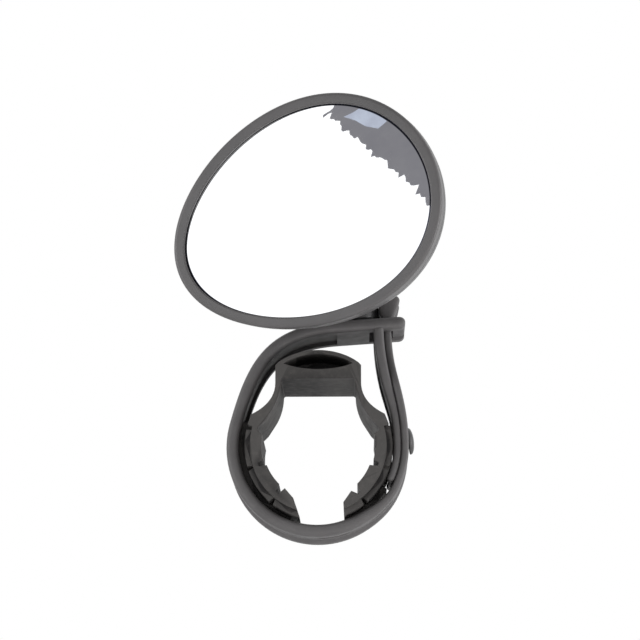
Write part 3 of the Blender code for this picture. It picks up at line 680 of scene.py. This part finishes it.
strap = dict(halfWidth=9.0 * mm, beadWidth=4.3 * mm, beadThick=3.1 * mm, webThick=1.5 * mm, step=1.2 * mm,
             railFrom=13.0 * mm, railTo=-4.5 * mm, railDrop=9.65 * mm, railRound=1.5 * mm,
             shoulderPull=(17 * mm, 16 * mm), joinAngle=165, ringEnd=360, ringSteps=160,
             tailRadius=22.05 * mm, growFrom=300, growSpan=30, windows=(-152, -116, -80, -44),
             studWindow=2.0, windowSize=(9.0 * mm, 5.0 * mm), windowCorner=2.2 * mm, windowRound=0.3 * mm)
# the tail goes up from the ring's end; its tab stands free above the rails
tail = dict(sidePull=((strap["tailRadius"], 13.5 * mm), (18.0 * mm, 17.5 * mm)),
            through=(17.85 * mm, 31.0 * mm), tabPull=((17.7 * mm, 33.5 * mm), (17.7 * mm, 36 * mm)),
            tip=(18.8 * mm, 40.1 * mm), tipRound=1.3 * mm, narrowFrom=0.45, narrowShare=0.37)
# the head's slot for the tail, the bar and block that fill its ends, and the hollow for the base plate
clasp = dict(slot=(3.1 * mm, 9.2 * mm), slotHalf=5.5 * mm, slotCorner=0.6 * mm,
             block=(9.2 * mm, 17.5 * mm), blockThick=3.04 * mm, barFrom=0.5 * mm, barThick=1.7 * mm,
             halfWidth=6.8 * mm, corner=0.3 * mm, hollow=(6.4 * mm, 5 * mm, 9.6 * mm), hollowUp=1.4 * mm)
tongue = dict(reach=26, inset=(1.95 * mm, 2.28 * mm), tipRound=0.9 * mm, topFrom=0.4, topShare=0.35)
loopRadius = -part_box("strap")[0].z - strap["beadThick"] / 2

# half width, bead width, bead thickness, web thickness
loopSize = (strap["halfWidth"], strap["beadWidth"], strap["beadThick"], strap["webThick"])
outerSize = (strap["halfWidth"], strap["beadWidth"], 1.85 * mm, 1.2 * mm)
tailSize = (5.2 * mm, 2.2 * mm, 2.0 * mm, 1.4 * mm)
tabSize = (5.2 * mm, 2.2 * mm, 5.2 * mm, 4.4 * mm)
tongueSize = (8.8 * mm, 3.6 * mm, 2.0 * mm, 1.2 * mm)
tongueTop = (8.9 * mm, 3.8 * mm, 2.5 * mm, 1.5 * mm)


def bandSection(halfWidth, beadWidth, beadThick, webThick):
    # (across, thick) points round a band that is thick along both edges and thin between
    bead, web = beadThick / 2, webThick / 2
    inner = halfWidth - beadWidth
    soft = min(1.1 * mm, 1.2 * (bead - web) + 0.2 * mm)
    shares = (0, 0.17, 0.36, 0.5, 0.64, 0.83, 1)
    quarter = [(inner + soft * t, web + (bead - web) * ease(t)) for t in shares]
    corner = min(1.5 * mm, 0.4 * beadWidth, bead)
    for k in range(8):
        turn = pi / 2 * k / 7
        across = halfWidth - corner + corner * sin(turn) ** 0.8
        quarter.append((across, bead * cos(turn) ** 0.8 if k < 7 else 0.0))
    top = [(-z, y) for z, y in reversed(quarter)] + quarter
    return top + [(z, -y) for z, y in reversed(top[1:-1])]


def railPoint(along):
    point = postPlace @ Vector((along, 0, -strap["railDrop"]))
    return point.x, point.z


def ringRadius(angle):
    # the thinner outer layer runs further out, with the tongue inside it
    share = ease((angle - strap["growFrom"]) / strap["growSpan"])
    return loopRadius + (strap["tailRadius"] - loopRadius) * share


def bandRoute():
    # points in the XZ plane, and the number of each stretch's first point
    start = railPoint(strap["railTo"])
    lean = Vector(railPoint(1)) - Vector(railPoint(0))
    join = radians(strap["joinAngle"])
    left = (loopRadius * cos(join), loopRadius * sin(join))
    first, last = strap["shoulderPull"]
    ahead = (start[0] - first * lean.x, start[1] - first * lean.y)
    above = (left[0] + last * sin(join), left[1] - last * cos(join))
    run = strap["railTo"] - strap["railFrom"]
    rails = [railPoint(strap["railFrom"] + run * i / 20) for i in range(20)]
    shoulder = bezier(start, ahead, above, left, 50)[:-1]
    span = strap["ringEnd"] - strap["joinAngle"]
    count = strap["ringSteps"]
    turns = [strap["joinAngle"] + span * i / count for i in range(count)]
    ring = [polar(ringRadius(a), a) for a in turns]
    side = bezier((strap["tailRadius"], 0), *tail["sidePull"], tail["through"], 50)[:-1]
    tab = bezier(tail["through"], *tail["tabPull"], tail["tip"], 16)
    stretches = dict(rails=rails, shoulder=shoulder, ring=ring, side=side, tab=tab)
    starts, points = {}, []
    for name, stretch in stretches.items():
        starts[name] = len(points)
        points += stretch
    return points, starts


def runningLength(points):
    lengths = [0.0]
    for a, b in zip(points, points[1:]):
        lengths.append(lengths[-1] + (Vector(b) - Vector(a)).length)
    return lengths


def routeCurve(points):
    # a flat line that the straight band is bent along
    data = bpy.data.curves.new("bandRoute", "CURVE")
    data.dimensions = "2D"
    line = data.splines.new("POLY")
    line.points.add(len(points) - 1)
    for slot, (x, z) in zip(line.points, points):
        slot.co = (x, z, 0, 1)
    route = bpy.data.objects.new("bandRoute", data)
    bpy.context.scene.collection.objects.link(route)
    return route


def straightBand(stations):
    # stations are (along, size); the band lies along X with its width along Z
    rings = []
    for along, size in stations:
        rings.append([Vector((along, y, z)) for z, y in bandSection(*size)])
    band = rollGrid(rings)
    edit(band)
    length = stations[-1][0]
    count = int(length / strap["step"])
    for i in range(1, count):  # slices, so that it can bend
        bpy.ops.mesh.select_all(action="SELECT")
        bpy.ops.mesh.bisect(plane_co=(length * i / count, 0, 0), plane_no=(1, 0, 0))
    leaveEdit()
    return band


def scaled(size, share):
    # the same section, shrunk for a rounded end
    return size[0] - (1 - share) * 0.9 * mm, size[1], size[2] * share, size[3] * share


def between(a, b, t):
    return tuple(p + (q - p) * ease(t) for p, q in zip(a, b))


def cutThrough(band, size, centre, corner):
    # rounded opening through the band's thickness
    tool = roundedBlock((size[0], size[1], 9 * mm), (0, 0, 0), corner)
    tool.data.transform(Matrix.Translation((centre, 0, 0)) @ Matrix.Rotation(pi / 2, 4, "X"))
    combine(band, tool, "DIFFERENCE")


def softenRim(band, size, centre):
    edit(band)
    reachX, reachZ = size[0] / 2 + 0.02 * mm, size[1] / 2 + 0.02 * mm

    def onRim(edge):
        near = all(abs(v.co.x - centre) < reachX and abs(v.co.z) < reachZ for v in edge.verts)
        return near and len(edge.link_faces) == 2 and edge.calc_face_angle(0) > radians(60)

    pick("edges", onRim)
    bpy.ops.mesh.bevel(offset=strap["windowRound"], segments=3, affect="EDGES")
    leaveEdit()


def bendBand(band, points):
    route = routeCurve(points)
    bend = band.modifiers.new("bend", "CURVE")
    bend.object = route
    bend.deform_axis = "POS_X"
    applyAll(band)
    bpy.data.objects.remove(route)
    band.data.transform(Matrix.Rotation(pi / 2, 4, "X"))


def placeAtAngle(angle, lengths, starts):
    # how far along the route a direction from the ring's centre is met
    first, last = starts["ring"], starts["side"]
    share = ((angle - strap["joinAngle"]) % 360) / (strap["ringEnd"] - strap["joinAngle"])
    place = first + share * (last - first)
    if place > last:  # past the ring, up the side
        return lengths[last] + radians(angle % 360 + 360 - strap["ringEnd"]) * strap["tailRadius"]
    low = int(place)
    return lengths[low] + (lengths[low + 1] - lengths[low]) * (place - low)


def bandStations(lengths, starts):
    total, sideStart, tabStart = lengths[-1], lengths[starts["side"]], lengths[starts["tab"]]
    stations = []
    for i in range(7):  # rounded ends of the rails
        turn = pi / 2 * i / 6
        stations.append((strap["railRound"] * (1 - cos(turn)), scaled(loopSize, 0.12 + 0.88 * sin(turn))))
    for i in range(7):  # thinner where the tongue lies inside it
        along = placeAtAngle(strap["growFrom"] + strap["growSpan"] * i / 6, lengths, starts)
        stations.append((along, between(loopSize, outerSize, i / 6)))
    for i in range(7):  # narrower to pass the slot
        share = tail["narrowFrom"] + tail["narrowShare"] * i / 6
        stations.append((sideStart + (tabStart - sideStart) * share, between(outerSize, tailSize, i / 6)))
    for i in range(9):  # thicker towards the tab's end
        along = tabStart + (total - tabStart - tail["tipRound"]) * i / 8
        stations.append((along, between(tailSize, tabSize, (i - 0.5) / 6)))
    for i in range(1, 6):
        turn = pi / 2 * i / 5
        along = total - tail["tipRound"] * (1 - sin(turn))
        stations.append((along, scaled(tabSize, 0.35 + 0.65 * cos(turn))))
    return stations


def addClasp(band):
    width, corner = 2 * clasp["halfWidth"], clasp["corner"]
    blockFrom, blockTo = clasp["block"]
    size = (blockTo - blockFrom, width, clasp["blockThick"])
    combine(band, flatBlock(size, ((blockFrom + blockTo) / 2, 0, 0), corner), "UNION")
    slotFrom, slotTo = clasp["slot"]
    size = (slotFrom - clasp["barFrom"], width, clasp["barThick"])
    combine(band, flatBlock(size, ((slotFrom + clasp["barFrom"]) / 2, 0, 0), corner), "UNION")
    size = (slotTo - slotFrom, 2 * clasp["slotHalf"])
    cutThrough(band, size, (slotFrom + slotTo) / 2, clasp["slotCorner"])
    hollow = roundedBlock(clasp["hollow"], (strap["railFrom"], -clasp["hollowUp"], 0), corner)
    combine(band, hollow, "DIFFERENCE")


def makeBand():
    points, starts = bandRoute()
    lengths = runningLength(points)
    band = straightBand(bandStations(lengths, starts))
    addClasp(band)
    for angle in (*strap["windows"], strap["studWindow"]):
        centre = placeAtAngle(angle, lengths, starts)
        cutThrough(band, strap["windowSize"], centre, strap["windowCorner"])
        softenRim(band, strap["windowSize"], centre)
    bendBand(band, points)
    finishPiece(band, "strapBand", "clamp", ["strap"], strapRubber)


def movedInward(points, distances):
    moved = []
    for i, ((x, z), distance) in enumerate(zip(points, distances)):
        before, after = points[max(i - 1, 0)], points[min(i + 1, len(points) - 1)]
        way = (Vector(after) - Vector(before)).normalized()
        moved.append((x - distance * way.y, z + distance * way.x))
    return moved


def makeTongue():
    # inner layer under the tail, from low on the right up to the rails
    points, starts = bandRoute()
    back = round(tongue["reach"] / (strap["ringEnd"] - strap["joinAngle"]) * strap["ringSteps"])
    points = points[starts["side"] - back:starts["tab"]]
    shares = [ease((i / len(points) - tongue["topFrom"]) / tongue["topShare"]) for i in range(len(points))]
    low, high = tongue["inset"]
    points = movedInward(points, [low + (high - low) * t for t in shares])
    lengths = runningLength(points)
    stations = []
    for i in range(6):  # rounded lower end
        turn = pi / 2 * i / 5
        stations.append((tongue["tipRound"] * (1 - cos(turn)), scaled(tongueSize, 0.2 + 0.8 * sin(turn))))
    for length, t in list(zip(lengths, shares))[12::6]:  # past the rounded end
        stations.append((length, between(tongueSize, tongueTop, t)))
    stations.append((lengths[-1], tongueTop))
    band = straightBand(stations)
    bendBand(band, points)
    finishPiece(band, "strapTongue", "clamp", [], strapRubber)


stud = dict(angle=6.5, shank=5.55 * mm, radius=1.7 * mm, headOut=1.15 * mm, headRadius=3.4 * mm,
            headHeight=1.4 * mm, headEdge=0.3 * mm)
# z goes out of the tail through the window that the stud fills
studPlace = Matrix.Rotation(radians(-stud["angle"]), 4, "Y") @ Matrix.Rotation(pi / 2, 4, "Y")


def makeStud():
    face = strap["tailRadius"] + stud["headOut"]
    back = face - stud["shank"]
    shank, r, h, edge = (stud[k] for k in ("radius", "headRadius", "headHeight", "headEdge"))
    profile = [(0, back), (shank - 0.2 * mm, back), (shank, back + 0.2 * mm)]
    profile += [(shank, face - 0.3 * mm), (shank + 0.3 * mm, face), (r - 0.2 * mm, face)]
    profile += [(r, face + edge / 2), (r, face + edge)]
    turns = [radians(k) for k in (15, 30, 45, 60, 75)]
    profile += [(r * cos(a), face + edge + (h - edge) * sin(a)) for a in turns] + [(0, face + h)]
    mushroom = latheProfile(profile, 48)
    finishPiece(mushroom, "strapStud", "clamp", ["strap_stud"], jointPlastic,
                studPlace, 30)


makeBand()
makeTongue()
makeStud()
print("strap ready")


# Grip liner

liner = dict(centre=(0.35 * mm, 0, -0.3 * mm), outer=18.4 * mm, inner=14.2 * mm, padInner=13.7 * mm,
             hingeOuter=17.1 * mm, hingeInner=15.7 * mm, notchHalf=(2.0, 1.5), halfDepth=12.0 * mm,
             padStep=1.2 * mm, ribFoot=17.6 * mm, soft=0.22 * mm, recess=(3.5 * mm, 17.4 * mm))
# the bridge's hole: the place of its tips, how its top and floor are pulled, and the web left half way
bridge = dict(tip=(8.7 * mm, 20.8 * mm), top=(4 * mm, 23.9 * mm), floor=(4 * mm, 18.8 * mm), web=1.0 * mm)
# radius, half width and angles: two lie between the strap's beads and the last against the tongue
ribs = ((20.15 * mm, 4.0 * mm, -64, -30), (20.15 * mm, 4.0 * mm, -201, -111), (18.95 * mm, 8.6 * mm, -31, 16))
# radius and angle of the corners round the gap, the last one outside
rightToe = ((14.1 * mm, -54.5), (15.6 * mm, -66.5), (18.8 * mm, -70.0))
leftToe = ((13.6 * mm, -52.5), (14.6 * mm, -65.0), (18.4 * mm, -75.5))
linerPlace = Matrix.Translation(liner["centre"])


def arcPoints(radius, start, end, steps):
    return roundCorner((0, 0), radius, start, end, steps)


def outerNotch(angle):
    outer, hinge, half = liner["outer"], liner["hingeOuter"], liner["notchHalf"][0]
    return [polar(outer, angle - half), polar(hinge, angle - 0.5 * half),
            polar(hinge, angle + 0.5 * half), polar(outer, angle + half)]


def innerNotch(angle):
    hinge, half = liner["hingeInner"], liner["notchHalf"][1]
    return [polar(hinge, angle + half), polar(hinge, angle - half)]


def linerHalf(toe):
    # right half of the liner, from the gap up the outside and back down the inside: three pads with
    # thin hinges between them, then the side wall and the bridge
    outer, inner, lower = liner["outer"], liner["inner"], liner["padInner"]
    toe = [polar(*corner) for corner in toe]
    outside = toe[-1:] + arcPoints(outer, -67.5, -54, 10) + outerNotch(-50.5)
    outside += arcPoints(outer, -46.5, -21.5, 18) + outerNotch(-18)
    outside += arcPoints(outer, -14, 10.5, 18) + outerNotch(15)
    outside += bezier((16.6 * mm, 7.9 * mm), (13.6 * mm, 9.4 * mm), (10.75 * mm, 11.8 * mm),
                      (10.75 * mm, 15.8 * mm), 12)
    outside += [(10.75 * mm, 20.3 * mm)] + bezier((10.1 * mm, 21.0 * mm), (7.4 * mm, 23.1 * mm),
                                                  (3.6 * mm, 24.2 * mm), (0, 24.2 * mm), 12)
    inside = [(0, 16.9 * mm), (8.9 * mm, 16.9 * mm), (9.3 * mm, 16.6 * mm)]
    inside += bezier((9.35 * mm, 16.0 * mm), (9.4 * mm, 13.6 * mm), (10.4 * mm, 10.8 * mm),
                     (11.4 * mm, 9.3 * mm), 8)
    inside += [(13.3 * mm, 6.3 * mm)] + innerNotch(15.5)
    inside += arcPoints(inner, 11, -14.5, 14) + innerNotch(-18)
    inside += arcPoints(lower, -21.5, -45, 14) + innerNotch(-49.5)
    return outside, inside + toe[:-1]


def fromOutline(outline, near, far):
    # a filled outline in the XZ plane pulled out along Y
    clearSelection()
    bpy.ops.mesh.primitive_circle_add(vertices=len(outline), radius=1, fill_type="NGON")
    plate = bpy.context.object
    for v, (x, z) in zip(plate.data.vertices, outline):
        v.co = (x, near, z)
    bpy.ops.object.mode_set(mode="EDIT")
    bpy.ops.mesh.select_mode(type="FACE")
    bpy.ops.mesh.select_all(action="SELECT")
    bpy.ops.mesh.extrude_region_move(TRANSFORM_OT_translate={"value": (0, far - near, 0)})
    closeOpenEnds()
    tidyNormals()
    leaveEdit()
    return plate


def addRib(band, outer, half, start, end):
    steps = round(abs(end - start) / 1.5)
    outline = arcPoints(outer, start, end, steps) + arcPoints(liner["ribFoot"], end, start, steps)
    rib = fromOutline(outline, -half, half)
    rib.data.transform(linerPlace.inverted())
    combine(band, rib, "UNION")


def bridgeHole():
    (x, z), (topX, topZ), (floorX, floorZ) = (bridge[k] for k in ("tip", "top", "floor"))
    top = bezier((-x, z), (-topX, topZ), (topX, topZ), (x, z), 24)
    under = bezier((x, z), (floorX, floorZ), (-floorX, floorZ), (-x, z), 24)
    return top + under[1:-1]


def makeLiner():
    outside, inside = linerHalf(rightToe)
    leftOutside, leftInside = linerHalf(leftToe)
    outline = outside + [(-x, z) for x, z in reversed(leftOutside[:-1])]
    outline += [(-x, z) for x, z in reversed(leftInside[1:])] + inside
    deep, past = liner["halfDepth"], liner["halfDepth"] + 2 * mm
    band = fromOutline(outline, -deep, deep)
    ring = arcPoints(21 * mm, -197, 17, 60) + arcPoints(liner["hingeOuter"] - 0.05 * mm, 16.4, -196.4, 90)
    for side in (-1, 1):  # from each end: half of the bridge's hole, and a step round the pads
        near, far = sorted((side * bridge["web"], side * past))
        combine(band, fromOutline(bridgeHole(), near, far), "DIFFERENCE")
        near, far = sorted((side * (deep - liner["padStep"]), side * past))
        combine(band, fromOutline(ring, near, far), "DIFFERENCE")
    for rib in ribs:
        addRib(band, *rib)
    radius, floor = liner["recess"]
    clearSelection()
    bpy.ops.mesh.primitive_cylinder_add(vertices=48, radius=radius, depth=4 * mm,
                                        location=(0, 0, floor + 2 * mm))
    recess = bpy.context.object
    bpy.ops.object.transform_apply(location=True)
    recess.data.transform(linerPlace.inverted() @ studPlace)
    combine(band, recess, "DIFFERENCE")
    roundEdges(band, liner["soft"], 2, 38)
    finishPiece(band, "gripLiner", "clamp", ["grip_liner"], linerRubber, linerPlace, 40)


makeLiner()


# Hidden pieces keep their shape and get a finish

hiddenFinishes = dict(lens_pad=foamFinish(), ball_seat=nylonFinish(), pivot_screw=platedSteel,
                      pivot_washer=platedSteel, stud_plate=platedSteel, base_plate=jointPlastic)
for node, finish in hiddenFinishes.items():
    mesh = frame["nodes"][node].data
    mesh.materials.clear()
    mesh.materials.append(finish)
print("finishes set on the hidden pieces")


# Studio

studio = dict(floorDrop=0.35, floorSize=4.0, behind=0.9, before=0.3)
# outlines are in degrees towards -X and upwards, seen from the glass's middle along -Y
whiteCard = dict(away=0.75, glow=1.25, tones=((1.0, 1.0, 1.0), (0.98, 0.99, 1.0)),
                 outline=((-6, -26), (56, -26), (56, 26), (-6, 26)))
greySheet = dict(away=0.6, glow=0.235, tones=((0.86, 0.85, 0.93), (1.0, 0.99, 1.05)),
                 torn=((22.3, 10.6), (20.0, 9.6), (18.4, 7.1), (16.8, 5.9), (15.1, 4.1), (13.2, 2.1),
                       (11.2, -0.1), (9.2, -2.8), (7.0, -5.4)),
                 outline=((6.0, -8), (1, -8), (1, 24), (22, 20), (25.5, 14.4), (23.2, 13.2), (20.6, 12.5),
                          (21.0, 11.2)))
paleSheet = dict(away=0.59, glow=0.85, tones=((0.62, 0.68, 0.80), (0.42, 0.44, 0.54)),
                 outline=((19.4, 9.8), (17.4, 10.4), (15.2, 9.7), (13.9, 8.0), (14.8, 7.3), (16.4, 7.9),
                          (17.8, 9.0)))
lights = dict(leftLight=dict(place=(-0.55, -0.25, 0.05), size=0.35, power=1.2, tint=(1.0, 0.99, 1.0)),
              rightLight=dict(place=(0.6, -0.15, -0.02), size=0.35, power=1.7, tint=(1.0, 0.99, 1.0)),
              lowLight=dict(place=(0.1, -0.2, -0.125), size=0.3, power=0.16, tint=(1.0, 0.95, 0.92)))
camera = dict(place=(0.0104, -0.5616, -0.0953), tilt=103, turn=1, lens=126)


def makeFloor():
    clearSelection()
    bpy.ops.mesh.primitive_plane_add(size=studio["floorSize"], location=(0, 0, -studio["floorDrop"]))
    floor = bpy.context.object
    floor.name = "floor"
    paint, nodes, links, shader = newFinish("paleFloor")
    tone = addColourMix(nodes, links, addNoise(nodes, links, 3), (0.8, 0.8, 0.8), (0.84, 0.84, 0.84))
    links.new(tone, shader.inputs["Base Color"])
    shader.inputs["Roughness"].default_value = 0.7
    floor.data.materials.append(paint)


def makeWorld():
    # a white room, less bright on the side the glass faces
    world = bpy.data.worlds.new("softRoom")
    world.use_nodes = True
    nodes, links = world.node_tree.nodes, world.node_tree.links
    place, split = nodes.new("ShaderNodeTexCoord"), nodes.new("ShaderNodeSeparateXYZ")
    links.new(place.outputs["Generated"], split.inputs[0])
    glow = addRange(nodes, links, split.outputs["Y"], studio["before"], studio["behind"], -0.9, 0.3)
    seen, choice = nodes.new("ShaderNodeLightPath"), nodes.new("ShaderNodeMix")
    links.new(seen.outputs["Is Camera Ray"], choice.inputs[0])
    links.new(glow, choice.inputs[2])
    choice.inputs[3].default_value = 1.0
    links.new(choice.outputs[0], nodes["Background"].inputs["Strength"])
    nodes["Background"].inputs["Color"].default_value = (1, 1, 1, 1)
    bpy.context.scene.world = world
    bpy.context.scene.view_settings.view_transform = "Standard"


def glowingCard(name, look, outline):
    # flat card that the glass reflects and the camera doesn't see
    clearSelection()
    bpy.ops.mesh.primitive_circle_add(vertices=len(outline), radius=1, fill_type="NGON")
    card = bpy.context.object
    card.name = name
    middle = sum((Vector(corner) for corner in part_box("mirror_lens")), Vector()) / 2
    corners = [(radians(left), radians(up)) for left, up in outline]
    ways = [Vector((-sin(left) * cos(up), -cos(left) * cos(up), sin(up))) for left, up in corners]
    facing = sum(ways, Vector()).normalized()
    for v, way in zip(card.data.vertices, ways):
        v.co = middle + look["away"] * way / way.dot(facing)
    paint, nodes, links, shader = newFinish(name)
    cloud = addRange(nodes, links, addNoise(nodes, links, 26, 5, 0.6), 0, 1)
    links.new(addColourMix(nodes, links, cloud, *look["tones"]), shader.inputs["Emission Color"])
    shader.inputs["Base Color"].default_value = (0, 0, 0, 1)
    shader.inputs["Specular IOR Level"].default_value = 0
    shader.inputs["Emission Strength"].default_value = look["glow"]
    card.data.materials.append(paint)
    card.visible_camera = False
    card.visible_shadow = False
    card.visible_diffuse = False


def tornEdge(corners):
    # a ragged line between the corners
    edge = []
    for (a, b), (c, d) in zip(corners, corners[1:]):
        for k in range(8):
            x, y = a + (c - a) * k / 8, b + (d - b) * k / 8
            rip = noise.noise(Vector((x * 1.7, y * 1.7, 3.1)))
            rip += 0.6 * noise.noise(Vector((x * 5, y * 5, 7.7)))
            edge.append((x + 0.5 * rip, y - 0.7 * rip))
    return edge


def makeCards():
    glowingCard("whiteCard", whiteCard, whiteCard["outline"])
    glowingCard("greySheet", greySheet, tornEdge(greySheet["torn"]) + list(greySheet["outline"]))
    glowingCard("paleSheet", paleSheet, paleSheet["outline"])


def makeLights():
    for name, light in lights.items():
        clearSelection()
        bpy.ops.object.light_add(type="AREA", location=light["place"])
        lamp = bpy.context.object
        lamp.name = name
        lamp.data.shape = "DISK"
        lamp.data.size = light["size"]
        lamp.data.energy = light["power"]
        lamp.data.color = light["tint"]
        lamp.rotation_euler = (-Vector(light["place"])).to_track_quat("-Z", "Y").to_euler()


def makeCamera():
    clearSelection()
    turns = (radians(camera["tilt"]), 0, radians(camera["turn"]))
    bpy.ops.object.camera_add(location=camera["place"], rotation=turns)
    made = bpy.context.object
    made.data.lens = camera["lens"]
    made.data.clip_start = 0.01
    bpy.context.scene.camera = made


makeFloor()
makeWorld()
makeCards()
makeLights()
makeCamera()
print("studio ready")
